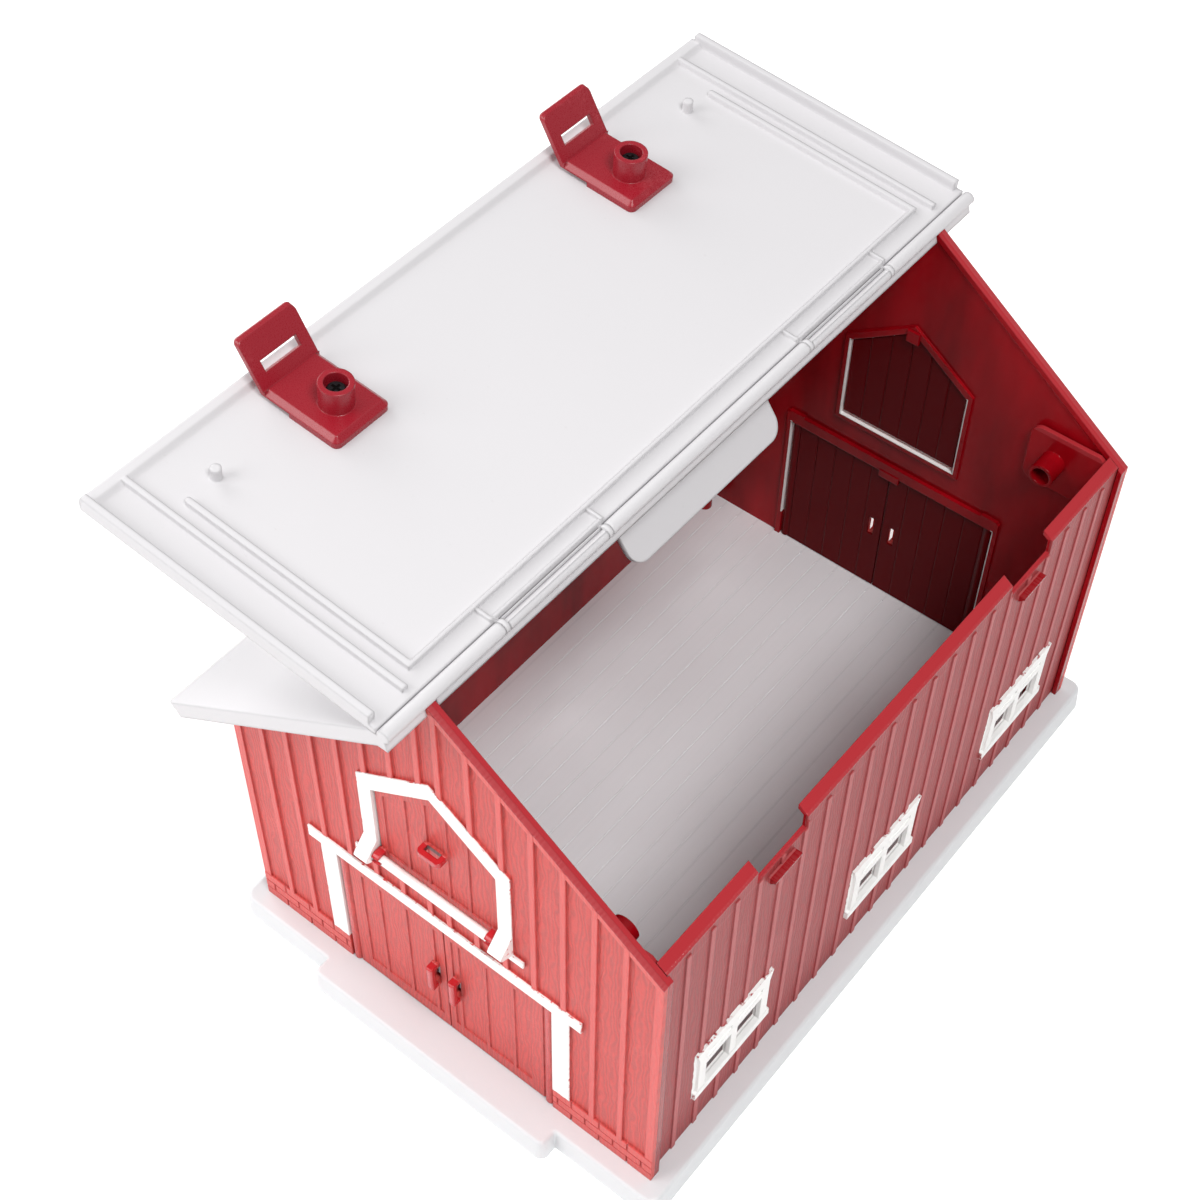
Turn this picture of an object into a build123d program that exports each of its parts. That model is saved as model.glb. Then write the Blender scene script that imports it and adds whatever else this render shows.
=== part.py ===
from build123d import *
from math import cos, radians, sin, tan
import os

# Toy barn whose right roof half, four doors and two loft doors swing on hinges.
# Frame: X across the barn, Y along the ridge, Z up, zero under the middle of the base. Millimetres.

# Shell
BARN_L = 298.0           # outside to outside of the two end walls
BARN_W = 200.0           # outside to outside of the corner boards
PITCH = 35.3             # slope of both roof halves, degrees
APEX_Z = 214.7           # where the two roof undersides would meet, above the base top
WALL_T = 2.2             # end wall thickness
SIDE_T = 2.0             # long wall thickness
SEAT_GAP = 0.3           # between faces that rest near each other
SWING_GAP = 0.4          # round every leaf that swings
PIN_D = 3.0              # every hinge pin
PIN_CLEAR = 0.06         # radial play of a pin in its bore
BLEND = 0.6              # small moulded edge radius

# Base
BASE_H = 11.0
BASE_LIP = 9.5           # base outside the end walls
BASE_SIDE = 8.0          # base outside the corner boards
APRON_SIDE = 8.0         # lip in front of the doors, beyond the doorway
APRON_OUT = 17.3         # how far that lip stands out from the end wall
BASE_SKIN = 2.4
BASE_CORNER = 6.0
APRON_CORNER = 3.5
BASE_DRAFT = 5.0         # degrees
BASE_ROUND = 1.6
RIB_T = 1.6
RIB_PITCH_X = 31.0
RIB_PITCH_Y = 33.0
PLANK = 9.3
GROOVE_W = 0.8
GROOVE_D = 0.4

# End wall trim
BOARD_W = 3.6
BOARD_OUT = 0.8
RETURN_Y = 4.0           # corner board turned round the corner
RETURN_T = 2.0
LIP_W = 2.8
LIP_OUT = 1.0
BATTEN_W = 2.4
BATTEN_OUT = 1.1
BATTEN_FIRST = 4.6
BATTEN_STEP = 13.3
BRICK_H = 15.0
BRICK_OUT = 1.0
BRICK_COURSES = 3
BRICK_STEP = 13.4
JOINT_W = 0.8
JOINT_D = 0.5
APEX_CUT_Z = 212.3       # the gable is cut flat here to pass under the ridge roll

# Doors
DOOR_HALF = 52.5
DOOR_TOP = 75.5
DOOR_T = 2.0
DOOR_SET = 0.4           # leaf face behind the wall face
BARREL_R = 2.0
PIN_REACH = 3.6
POST_W = 8.1
POST_OUT = 1.2
BEAM_SIDE = 13.8         # beam over the doors, beyond the doorway
BEAM_H = 6.5
BEAM_OUT = 1.5
RAIL_OUT = 1.6           # rail over the doors, inside
RIM_W = 2.6
RIM_OUT = 1.2
STILE = 6.0
RAIL_H = 7.0
RAISED = 0.5
LEAF_RIB_W = 1.6
LEAF_RIB_STEP = 13.4
PULL_X = 5.4
PULL_W = 3.0
PULL_OUT = 4.5
PULL_Z = 30.0
PULL_H = 15.0
PULL_T = 2.2
PULL_ROUND = 1.0

# Loft door
LOFT_HALF = 28.7
LOFT_SILL = 95.5
LOFT_EAVE = 139.0
LOFT_APEX = 159.2
FRAME_W = 6.3
FRAME_EAVE = 5.2         # frame above the opening, at its eaves
FRAME_APEX = 8.5         # and at its peak
FRAME_OUT = 1.24
SILL_SIDE = 11.4         # sill beyond the opening
SILL_H = 3.4
SILL_OUT = 1.6
LOFT_GAP = 0.8
LOFT_FOOT = 2.1          # foot of the leaf above the sill
LOFT_T = 2.2
LOFT_SET = 0.2
LOFT_AXIS_OUT = 2.6
LOFT_AXIS_UP = 4.5       # hinge bar above the sill
EAR_OUT = 7.35
EAR_H = 11.5
KNUCKLE_R = 2.8
KNUCKLE_W = 3.2
RING_W = 10.6
RING_OUT = 4.8
RING_UP = 30.0           # ring pull above the sill
RING_T = 2.5
RING_SLOT_W = 6.5
RING_SLOT_D = 2.3
RING_FRONT = 2.2         # bar of the ring in front of its slot
RING_CORNER = 2.0
LEAF_BORDER = 3.5
LEAF_GROOVE_STEP = 9.6

# Long wall
SIDE_SET = 2.3           # long wall face behind the corner boards
SIDE_BATTEN_OUT = 0.6
SIDE_BATTEN_STEP = 13.4
BAND_W = 4.5             # sloped top band, from the wall face inwards
BAND_T = 2.0
CATCH_IN = 68.0          # latch, notch and catch bar, from the end wall faces
NOTCH_W = 29.0
NOTCH_DEEP = 7.0
CATCH_W = 15.5
CATCH_OUT = 3.5
CATCH_DOWN = 11.2        # top of the catch bar below the top of the long wall
CATCH_H = 3.0
CATCH_ROOT = 1.4         # flat part of its underside
CATCH_NOSE = 1.0
WINDOW_IN = 48.8         # outer windows from the end wall faces
WINDOW_LOW = 23.6
WINDOW_HIGH = 57.0
WINDOW_W = 43.4
WINDOW_EAR = 1.8         # lintel and sill beyond the jambs
WINDOW_OUT = 1.3
LINTEL_H = 6.0
SILL_PLATE_H = 4.1
LIGHT_W = 15.2
LIGHT_H = 16.3
MULLION = 4.0
TRANSOM = 4.2
PANE_H = 2.8
PANE_DEEP = 1.4

# Corner fixings
BOSS_IN = 25.8           # corner screws from the long wall face
BOSS_DOWN = 12.5         # and below the top of the long wall
BOSS_R = 3.5
EAR_PLATE_T = 2.0
EAR_PLATE_IN = 36.0      # ear plate reach from the long wall
EAR_PLATE_DOWN = 27.0    # foot of the ear plate below the top of the long wall
EAR_PLATE_UP = 2.0
EAR_PLATE_DROP = 3.0     # ear plate below the roof underside
EAR_PLATE_CORNER = 5.0
TUBE_R = 5.4
TUBE_BORE = 3.9
TUBE_L = 12.0
PILOT_SKIN = 0.8         # left in front of a blind screw hole
FOOT_SET = 6.7           # foot boss centre from the long wall face
FOOT_IN = 11.0           # foot boss centre from the end wall face
FOOT_H = 10.0
SCREW_D = 3.0
SCREW_HEAD_D = 7.2
SCREW_HEAD_H = 2.0
SCREW_HEAD_BEVEL = 0.7
SCREW_CLEAR = 0.1

# Roof
OVERHANG = 19.5          # roof beyond the end walls
SKIN_T = 2.5
LEFT_EAVE = 9.6          # eaves beyond the fold of the latches
RIGHT_EAVE = 13.8
HINGE_S = 0.763          # hinge axis from the apex, down the right slope
HINGE_N = 1.519          # and out from the roof underside
EDGE_S = 3.683           # ridge edge of the moving half
ROLL_R = 2.6
REST_ANGLE = 5.0         # the open half lies this much above level
BARREL_IN = 64.0         # hinge centres from the end wall faces
BARREL_L = 55.0
MOUTH_W = 2.5            # slot along the top of a barrel
ARM_T = 2.0
WEB_REACH = 8.0          # web under the ridge roll, towards the fixed half
WEB_H = 5.7
WEB_ANGLE = 75.0         # its free face from level
RIM_DROP = 1.5           # eave rim under the skin
GABLE_DROP = 4.0         # gable rim under the skin
GABLE_RIM_SET = 2.9      # gable rims start this far from the ridge edge, clear of the web
RIM_BAND = 2.8
RIB_DROP = 2.0
RIB_BAND = 2.5
INNER_RIB_BACK = 12.6    # end of the inner ribs before that fold
RIDGE_RIB_S = 10.8
EAVE_BAND = 5.0
STUD_IN = 19.0           # studs from the end wall faces
STUD_BACK = 12.4         # and before the fold of the latches
STUD_D = 4.0
STUD_H = 5.0
PANEL_CORNER = 2.5
GUARD_S = 13.8
GUARD_T = 2.2
GUARD_DROP = 27.0
GUARD_HALF_Y = 44.0
GUARD_CORNER = 7.0
SLOT_W = 20.0
SLOT_HALF_Y = 40.0

# Latch
LATCH_W = 27.0
LATCH_ARM_L = 11.4       # arm between the block and the fold
BLOCK_L = 22.4
LATCH_H = 4.5
LATCH_BEVEL = 2.0
LATCH_CORNER = 2.6
ARM_LIFT = 1.8
LIP_GAP = 1.3            # lip from the long wall face when it hangs closed
LIP_T = 2.2
LIP_BEVEL = 1.2          # along the inner side of its free edge
LIP_CORNER = 2.0
LIP_DOWN = 26.0          # free edge of the lip below the top of the long wall
FOLD_DOWN = 4.2          # and its fold
LATCH_SLOT_W = 17.5
LATCH_SLOT_DOWN = 10.6   # slot top below the top of the long wall
LATCH_SLOT_H = 4.4
LATCH_BOSS_SET = 9.6     # boss centre from the arm end of the block
LATCH_BOSS_R = 6.5
LATCH_BORE_R = 3.3
LATCH_WELL_R = 4.4       # wide bore above the shoulder, for the screw head
LATCH_BOSS_H = 14.5
SHOULDER_T = 5.2         # solid under the screw head, inside the boss
POST_PLAY = 0.15

AXIS_X = HINGE_S * cos(radians(PITCH)) + HINGE_N * sin(radians(PITCH))
AXIS_Z = APEX_Z - HINGE_S * sin(radians(PITCH)) + HINGE_N * cos(radians(PITCH))
END_Y = BARN_L / 2
PIN_R = PIN_D / 2
BORE_R = PIN_R + PIN_CLEAR
DOOR_AXIS_X = DOOR_HALF - SWING_GAP - BARREL_R
DOOR_AXIS_Y = DOOR_SET + DOOR_T / 2 - 0.4
SCREW_R = SCREW_D / 2
HOLE_R = SCREW_R + SCREW_CLEAR / 2
WALL_INSET = WALL_T + LIP_OUT + SEAT_GAP   # end of a long wall, from the end wall face
CATCH_Y = END_Y - CATCH_IN
WINDOW_Y = END_Y - WINDOW_IN
BARREL_Y = END_Y - BARREL_IN
SIDE_FACE = BARN_W / 2 - SIDE_SET
SIDE_TOP = APEX_Z - SIDE_FACE * tan(radians(PITCH)) - SEAT_GAP / cos(radians(PITCH))
BAND_IN = SIDE_FACE - BAND_W
BOSS_X = SIDE_FACE - BOSS_IN
BOSS_Z = SIDE_TOP - BOSS_DOWN
FOOT_X = SIDE_FACE - FOOT_SET
ROOF_HALF_Y = END_Y + OVERHANG
LIP_IN_X = SIDE_FACE + LIP_GAP
LOFT_AXIS_Z = LOFT_SILL + LOFT_AXIS_UP
FOLD_Z = SIDE_TOP - FOLD_DOWN
FOLD_S = LIP_IN_X * cos(radians(PITCH)) - (FOLD_Z - APEX_Z) * sin(radians(PITCH))
BLOCK_END = FOLD_S - LATCH_ARM_L
LATCH_BOSS_S = BLOCK_END - LATCH_BOSS_SET
STUD_S = FOLD_S - STUD_BACK
LEFT_REACH = FOLD_S + LEFT_EAVE
RIGHT_REACH = FOLD_S + RIGHT_EAVE
INNER_RIB_END = FOLD_S - INNER_RIB_BACK


def block(x0, x1, y0, y1, z0, z1):
    """Block between two opposite corners."""
    centre = Pos((x0 + x1) / 2, (y0 + y1) / 2, (z0 + z1) / 2)
    return centre * Box(x1 - x0, y1 - y0, z1 - z0)


def profile_xz(points, y0, y1):
    """Outline in X and Z carried along Y."""
    plane = Plane(origin=(0, y1, 0), x_dir=(1, 0, 0), z_dir=(0, -1, 0))
    return extrude(plane * Polygon(*points, align=None), amount=y1 - y0, dir=(0, -1, 0))


def profile_yz(points, x0, x1):
    """Outline in Y and Z carried along X."""
    plane = Plane(origin=(x0, 0, 0), x_dir=(0, 1, 0), z_dir=(1, 0, 0))
    return extrude(plane * Polygon(*points, align=None), amount=x1 - x0, dir=(1, 0, 0))


def rod_x(x0, x1, y, z, r):
    return Pos((x0 + x1) / 2, y, z) * Rot(0, 90, 0) * Cylinder(r, x1 - x0)


def rod_y(y0, y1, x, z, r):
    return Pos(x, (y0 + y1) / 2, z) * Rot(90, 0, 0) * Cylinder(r, y1 - y0)


def rod_z(z0, z1, x, y, r):
    return Pos(x, y, (z0 + z1) / 2) * Cylinder(r, z1 - z0)


def both_sides(solid):
    """The solid and its mirror image across the middle plane X = 0."""
    return solid + mirror(solid, about=Plane.YZ)


def both_ends(solid):
    """The solid and its mirror image across the middle plane Y = 0."""
    return solid + mirror(solid, about=Plane.XZ)


def rake(x, normal):
    """Height at x of a line parallel to the roof underside, normal above it."""
    return APEX_Z - abs(x) * tan(radians(PITCH)) + normal / cos(radians(PITCH))


def slope_s(x, z):
    """Distance down the right slope from the apex."""
    return x * cos(radians(PITCH)) - (z - APEX_Z) * sin(radians(PITCH))


def slope_u(x, z):
    """Depth below the right roof underside."""
    return -x * sin(radians(PITCH)) - (z - APEX_Z) * cos(radians(PITCH))


# ---------------------------------------------------------------- base


def base_outline(inset):
    """Base plan with a lip at both door ends."""
    half_x = BARN_W / 2 + BASE_SIDE - inset
    half_y = END_Y + BASE_LIP - inset
    body = RectangleRounded(2 * half_x, 2 * half_y, BASE_CORNER - inset)
    lip_y = 2 * (END_Y + APRON_OUT - inset)
    lip_x = 2 * (DOOR_HALF + APRON_SIDE - inset)
    return body + RectangleRounded(lip_x, lip_y, APRON_CORNER - inset)


def base_hollow():
    """Room under the base skin, inside its drafted sides."""
    top = BASE_H - BASE_SKIN
    edge = BASE_SKIN + BASE_H * tan(radians(BASE_DRAFT))
    half_x = BARN_W / 2 + BASE_SIDE - edge
    half_y = END_Y + BASE_LIP - edge
    lip_x = DOOR_HALF + APRON_SIDE - edge
    lip_y = END_Y + APRON_OUT - edge
    return block(-half_x, half_x, -half_y, half_y, 0, top) + block(-lip_x, lip_x, -lip_y, lip_y, 0, top)


def base_ribs():
    """Stiffening grid under the base skin."""
    top = BASE_H - BASE_SKIN
    half_x = BARN_W / 2 + BASE_SIDE
    half_y = END_Y + APRON_OUT
    grid = block(-half_x, half_x, -RIB_T / 2, RIB_T / 2, 0, top)
    rows = int(half_y // RIB_PITCH_Y)
    for k in range(-rows, rows + 1):
        y = k * RIB_PITCH_Y
        grid += block(-half_x, half_x, y - RIB_T / 2, y + RIB_T / 2, 0, top)
    columns = int(half_x // RIB_PITCH_X)
    for k in range(-columns, columns + 1):
        x = k * RIB_PITCH_X
        grid += block(x - RIB_T / 2, x + RIB_T / 2, -half_y, half_y, 0, top)
    return grid


def foot_places():
    y = END_Y - FOOT_IN
    return [(FOOT_X, y), (-FOOT_X, y), (FOOT_X, -y), (-FOOT_X, -y)]


def door_pin_places():
    y = END_Y - DOOR_AXIS_Y
    return [(DOOR_AXIS_X, y), (-DOOR_AXIS_X, y), (DOOR_AXIS_X, -y), (-DOOR_AXIS_X, -y)]


def make_base():
    body = extrude(base_outline(0), amount=BASE_H, taper=BASE_DRAFT)
    top_edges = body.faces().sort_by(Axis.Z)[-1].edges()
    body = fillet(top_edges, BASE_ROUND)
    hollow = base_hollow()
    body = body - hollow + (base_ribs() & hollow)
    for x, y in foot_places():
        body += rod_z(0.5, BASE_H - BASE_SKIN / 2, x, y, TUBE_R)
    for x, y in door_pin_places():
        body += rod_z(BASE_H - PIN_REACH - 2, BASE_H - BASE_SKIN / 2, x, y, PIN_D)
    for x, y in foot_places():
        body -= rod_z(0, BASE_H - BASE_SKIN, x, y, TUBE_BORE)
        body -= rod_z(0, BASE_H, x, y, HOLE_R)
    for x, y in door_pin_places():
        body -= rod_z(BASE_H - PIN_REACH - SEAT_GAP, BASE_H, x, y, BORE_R)
    half = int((SIDE_FACE - SIDE_T - PLANK / 2) // PLANK)
    reach = END_Y - WALL_T - PLANK / 2
    cuts = []
    for k in range(-half, half + 1):
        x = k * PLANK
        cuts.append(block(x - GROOVE_W / 2, x + GROOVE_W / 2, -reach, reach, BASE_H - GROOVE_D, BASE_H))
    return body - cuts


# ---------------------------------------------------------------- end walls
# Drawn with the outer face at y = 0, the inside at larger y, standing on z = 0.


def gable(half, normal, y0, y1):
    """Gable outline with its tip cut flat."""
    flat = (rake(0, normal) - APEX_CUT_Z) / tan(radians(PITCH))
    points = [(-half, 0), (half, 0), (half, rake(half, normal)), (flat, APEX_CUT_Z)]
    points += [(-flat, APEX_CUT_Z), (-half, rake(half, normal))]
    return profile_xz(points, y0, y1)


def loft_outline(half, low, eave, apex, y0, y1):
    return profile_xz([(-half, low), (half, low), (half, eave), (0, apex), (-half, eave)], y0, y1)


def gable_lip():
    """Raised edge that runs up both slopes, proud inside and out."""
    half = BARN_W / 2
    y1 = WALL_T + LIP_OUT
    edge = gable(half, -SEAT_GAP, -LIP_OUT, y1)
    low = rake(half, -SEAT_GAP - LIP_W)
    inner = [(-half, 0), (half, 0), (half, low), (0, rake(0, -SEAT_GAP - LIP_W)), (-half, low)]
    return edge - profile_xz(inner, -LIP_OUT, y1)


def corner_board():
    """Board on the face and its return round the corner."""
    half = BARN_W / 2
    tops = [rake(half - BOARD_W, -SEAT_GAP), rake(half, -SEAT_GAP)]
    face = [(half - BOARD_W, 0), (half, 0), (half, tops[1]), (half - BOARD_W, tops[0])]
    side = [(half - RETURN_T, 0), (half, 0), (half, tops[1])]
    side.append((half - RETURN_T, rake(half - RETURN_T, -SEAT_GAP)))
    return profile_xz(face, -BOARD_OUT, WALL_T) + profile_xz(side, 0, RETURN_Y)


def brick_band():
    """Three courses of bricks beside the doors, in half bond."""
    half = BARN_W / 2
    course = BRICK_H / BRICK_COURSES
    band = block(DOOR_HALF, half, -BRICK_OUT, 0, 0, BRICK_H)
    cuts = []
    y1 = JOINT_D - BRICK_OUT
    for k in range(BRICK_COURSES):
        low = k * course
        if k:
            z0 = low - JOINT_W / 2
            cuts.append(block(DOOR_HALF, half, -BRICK_OUT, y1, z0, z0 + JOINT_W))
        x = half - BRICK_STEP * (0.87 if k % 2 == 0 else 0.37)
        while x > DOOR_HALF + JOINT_W:
            cuts.append(block(x - JOINT_W / 2, x + JOINT_W / 2, -BRICK_OUT, y1, low, low + course))
            x -= BRICK_STEP
    return band - cuts


def end_battens():
    """Vertical cover strips from the brick band to the gable lip."""
    strips = []
    x = BATTEN_FIRST
    while x < BARN_W / 2 - BOARD_W - BATTEN_W:
        top = rake(x + BATTEN_W / 2, -SEAT_GAP)
        strips.append(block(x - BATTEN_W / 2, x + BATTEN_W / 2, -BATTEN_OUT, 0, BRICK_H, top))
        x += BATTEN_STEP
    return strips


def loft_ear():
    """Bracket beside the loft opening that carries the hinge bar."""
    low = LOFT_SILL
    high = LOFT_SILL + EAR_H
    tip = LOFT_AXIS_Z
    points = [(0, high + FRAME_OUT), (-FRAME_OUT, high), (-EAR_OUT + 0.9, tip + 1.3), (-EAR_OUT, tip)]
    points += [(-EAR_OUT, tip - 1), (-EAR_OUT + 0.9, tip - 2), (-FRAME_OUT, low), (0, low)]
    return profile_yz(points, LOFT_HALF, LOFT_HALF + FRAME_W)


def door_frame():
    """Posts and beam round the doors."""
    post = block(DOOR_HALF, DOOR_HALF + POST_W, -POST_OUT, 0, BRICK_H, DOOR_TOP + 1)
    beam = block(0, DOOR_HALF + BEAM_SIDE, -BEAM_OUT, WALL_T / 2, DOOR_TOP, DOOR_TOP + BEAM_H)
    sill = block(0, LOFT_HALF + SILL_SIDE, -SILL_OUT, WALL_T / 2, LOFT_SILL - SILL_H, LOFT_SILL)
    return post + beam + sill


def inner_rims():
    """Raised rims round both openings on the inside, with the stops for the leaves."""
    y1 = WALL_T + RIM_OUT
    side = block(DOOR_HALF, DOOR_HALF + RIM_W, 0, y1, 0, DOOR_TOP + 1)
    rail = block(0, DOOR_HALF + RIM_W, 0, WALL_T + RAIL_OUT, DOOR_TOP, DOOR_TOP + 5.5)
    socket = block(DOOR_AXIS_X - 4, DOOR_AXIS_X + 4, 0, WALL_T + RAIL_OUT, DOOR_TOP, DOOR_TOP + BEAM_H)
    back = DOOR_SET + DOOR_T + SEAT_GAP
    stop = block(0, 5, back, back + 1.5, DOOR_TOP - 3, DOOR_TOP + 1)
    return side + rail + socket + stop


def loft_rim():
    """Raised rim round the loft opening, with a stop under its peak."""
    y1 = WALL_T + RIM_OUT
    grow = RIM_W / FRAME_W
    eave = LOFT_EAVE + grow * FRAME_EAVE
    apex = LOFT_APEX + grow * FRAME_APEX
    rim = loft_outline(LOFT_HALF + RIM_W, LOFT_SILL - RIM_W, eave, apex, 0, y1)
    back = LOFT_SET + LOFT_T + SEAT_GAP
    stop = block(-3, 3, back, back + 1.5, LOFT_APEX - 5, LOFT_APEX + 1)
    return rim, stop


def make_end_wall():
    half = SIDE_FACE + SEAT_GAP
    wall = gable(half, -SEAT_GAP, 0, WALL_T)
    wall += both_sides(corner_board())
    wall += gable_lip()
    for strip in end_battens():
        wall += both_sides(strip)
    wall += both_sides(brick_band())
    frame_half = LOFT_HALF + FRAME_W
    eave = LOFT_EAVE + FRAME_EAVE
    wall += loft_outline(frame_half, LOFT_SILL, eave, LOFT_APEX + FRAME_APEX, -FRAME_OUT, 0)
    rim, peak_stop = loft_rim()
    wall += rim
    wall += both_sides(door_frame())
    reach = 2 * WALL_T
    opening = block(-DOOR_HALF, DOOR_HALF, -reach, reach, 0, DOOR_TOP)
    wall -= opening
    wall -= loft_outline(LOFT_HALF, LOFT_SILL, LOFT_EAVE, LOFT_APEX, -reach, reach)
    wall += both_sides(inner_rims())
    wall += peak_stop
    wall += both_sides(loft_ear())
    wall += rod_x(-LOFT_HALF - 1, LOFT_HALF + 1, -LOFT_AXIS_OUT, LOFT_AXIS_Z, PIN_R)
    wall += both_sides(rod_y(WALL_T / 2, WALL_INSET, BOSS_X, BOSS_Z, BOSS_R))
    wall -= both_sides(rod_y(PILOT_SKIN, WALL_INSET, BOSS_X, BOSS_Z, HOLE_R))
    socket = rod_z(DOOR_TOP - 1, DOOR_TOP + PIN_REACH + SEAT_GAP, DOOR_AXIS_X, DOOR_AXIS_Y, BORE_R)
    return wall - both_sides(socket)


def place_end(solid, front):
    """Put a front-drawn solid at the front, or turned round at the rear."""
    moved = Pos(0, -END_Y, BASE_H) * solid
    if front:
        return moved
    return Rot(0, 0, 180) * moved


# ---------------------------------------------------------------- doors


def pull_handle(x):
    """Upright bar pull on two short legs."""
    low = PULL_Z
    high = PULL_Z + PULL_H
    x0 = x - PULL_W / 2
    x1 = x + PULL_W / 2
    bar = block(x0, x1, -PULL_OUT, PULL_T - PULL_OUT, low, high)
    bar = fillet(bar.faces().sort_by(Axis.Y)[0].edges(), PULL_ROUND)
    for z in (low, high - PULL_T):
        bar += block(x0, x1, -PULL_OUT + PULL_T / 2, DOOR_SET, z, z + PULL_T)
    return bar


def make_door():
    """Right-hand leaf: barrel at larger x, pull near the middle."""
    low = 0.5
    high = DOOR_TOP - SWING_GAP
    y0 = DOOR_SET
    y1 = DOOR_SET + DOOR_T
    inner = SEAT_GAP
    face = y0 - RAISED
    edge = DOOR_AXIS_X - BARREL_R - 0.6
    leaf = block(inner, DOOR_AXIS_X, y0, y1, low, high)
    leaf += block(inner, edge, face, y0, low, low + RAIL_H)
    leaf += block(inner, edge, face, y0, high - STILE, high)
    leaf += block(inner, inner + STILE / 2, face, y0, low, high)
    leaf += block(edge - STILE, edge, face, y0, low, high)
    x = LEAF_RIB_STEP / 2 - 0.5
    while x < edge - STILE / 2:
        leaf += block(x - LEAF_RIB_W / 2, x + LEAF_RIB_W / 2, face, y0, low, high)
        x += LEAF_RIB_STEP
    window_low = PULL_Z + PULL_T
    window_high = PULL_Z + PULL_H - PULL_T
    x0 = PULL_X - PULL_W / 2
    leaf -= block(x0, x0 + PULL_W, face - 1, y1 + 1, window_low, window_high)
    leaf += pull_handle(PULL_X)
    leaf += rod_z(low, high, DOOR_AXIS_X, DOOR_AXIS_Y, BARREL_R)
    leaf += rod_z(low - PIN_REACH, high + PIN_REACH, DOOR_AXIS_X, DOOR_AXIS_Y, PIN_R)
    return leaf


def ring_pull(y1):
    """Flat pull with rounded corners and a slot through it."""
    low = LOFT_SILL + RING_UP
    high = low + RING_T
    ring = block(-RING_W / 2, RING_W / 2, -RING_OUT, y1, low, high)
    ring = fillet(ring.edges().filter_by(Axis.Z).sort_by(Axis.Y)[:2], RING_CORNER)
    slot_y = RING_FRONT - RING_OUT
    return ring - block(-RING_SLOT_W / 2, RING_SLOT_W / 2, slot_y, slot_y + RING_SLOT_D, low, high)


def make_loft_door():
    """Loft leaf with two clip knuckles round the hinge bar and a flat ring pull."""
    half = LOFT_HALF - LOFT_GAP
    eave = LOFT_EAVE - LOFT_GAP / 2
    apex = LOFT_APEX - LOFT_GAP
    y0 = LOFT_SET
    y1 = LOFT_SET + LOFT_T
    foot = LOFT_SILL + LOFT_FOOT
    leaf = loft_outline(half, foot, eave, apex, y0, y1)
    low = foot + LEAF_BORDER
    high = eave - LEAF_BORDER / 3
    field = loft_outline(half - LEAF_BORDER, low, high, apex - 4 * LEAF_BORDER / 3, y0 - 1, y0 + RAISED)
    for k in (-1.5, -0.5, 0.5, 1.5):
        x = k * LEAF_GROOVE_STEP
        field -= block(x - LEAF_RIB_W / 2, x + LEAF_RIB_W / 2, y0 - 1, y1, foot, apex)
    leaf -= field
    leaf += ring_pull(y0 + RAISED + BLEND / 3)
    x1 = LOFT_HALF - SEAT_GAP
    x0 = x1 - KNUCKLE_W
    knuckle = rod_x(x0, x1, -LOFT_AXIS_OUT, LOFT_AXIS_Z, KNUCKLE_R)
    root = block(x0, x1, -LOFT_AXIS_OUT, y0 + 1, LOFT_AXIS_Z - 1.8, LOFT_AXIS_Z + KNUCKLE_R)
    trim = block(half, x1, 0, y1, LOFT_AXIS_Z - 6, LOFT_AXIS_Z + 6)
    knuckle = knuckle + root - trim
    leaf += both_sides(knuckle)
    bore = rod_x(x0 - 1, x1 + 1, -LOFT_AXIS_OUT, LOFT_AXIS_Z, BORE_R)
    mouth_y = -LOFT_AXIS_OUT
    mouth = block(x0 - 1, x1 + 1, mouth_y - KNUCKLE_R, mouth_y, LOFT_AXIS_Z - 1.3, LOFT_AXIS_Z + 1.3)
    return leaf - both_sides(bore + mouth)


# ---------------------------------------------------------------- long walls
# Drawn as the right-hand wall, standing on z = 0.


def window_cut(y):
    """The two lights and the shallow panes of one window."""
    low = WINDOW_LOW + SILL_PLATE_H
    cuts = []
    for side in (-1, 1):
        mid = y + side * (MULLION + LIGHT_W) / 2
        x1 = SIDE_FACE + 2 * WINDOW_OUT
        y0 = mid - LIGHT_W / 2
        cuts.append(block(SIDE_FACE - 2 * SIDE_T, x1, y0, y0 + LIGHT_W, low, low + LIGHT_H))
        pane = low + LIGHT_H + TRANSOM
        x = SIDE_FACE + WINDOW_OUT - PANE_DEEP
        cuts.append(block(x, x1, y0, y0 + LIGHT_W, pane, pane + PANE_H))
    return cuts


def window_frame(y):
    x0 = SIDE_FACE - 0.5
    x1 = SIDE_FACE + WINDOW_OUT
    half = WINDOW_W / 2
    frame = block(x0, x1, y - half, y + half, WINDOW_LOW, WINDOW_HIGH)
    wide = half + WINDOW_EAR
    low = WINDOW_HIGH - LINTEL_H
    points = [(y - half, low), (y + half, low), (y + wide, WINDOW_HIGH), (y - wide, WINDOW_HIGH)]
    frame += profile_yz(points, x0, x1)
    frame += block(x0, x1 + 0.3, y - wide, y + wide, WINDOW_LOW, WINDOW_LOW + SILL_PLATE_H)
    return frame


def catch_bar(y):
    """Bar with a bevelled lower edge that the latch slot passes over."""
    x0 = SIDE_FACE - 0.5
    x1 = SIDE_FACE + CATCH_OUT
    high = SIDE_TOP - CATCH_DOWN
    low = high - CATCH_H
    points = [(x0, low), (SIDE_FACE + CATCH_ROOT, low), (x1, high - CATCH_NOSE), (x1, high), (x0, high)]
    return profile_xz(points, y - CATCH_W / 2, y + CATCH_W / 2)


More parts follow.
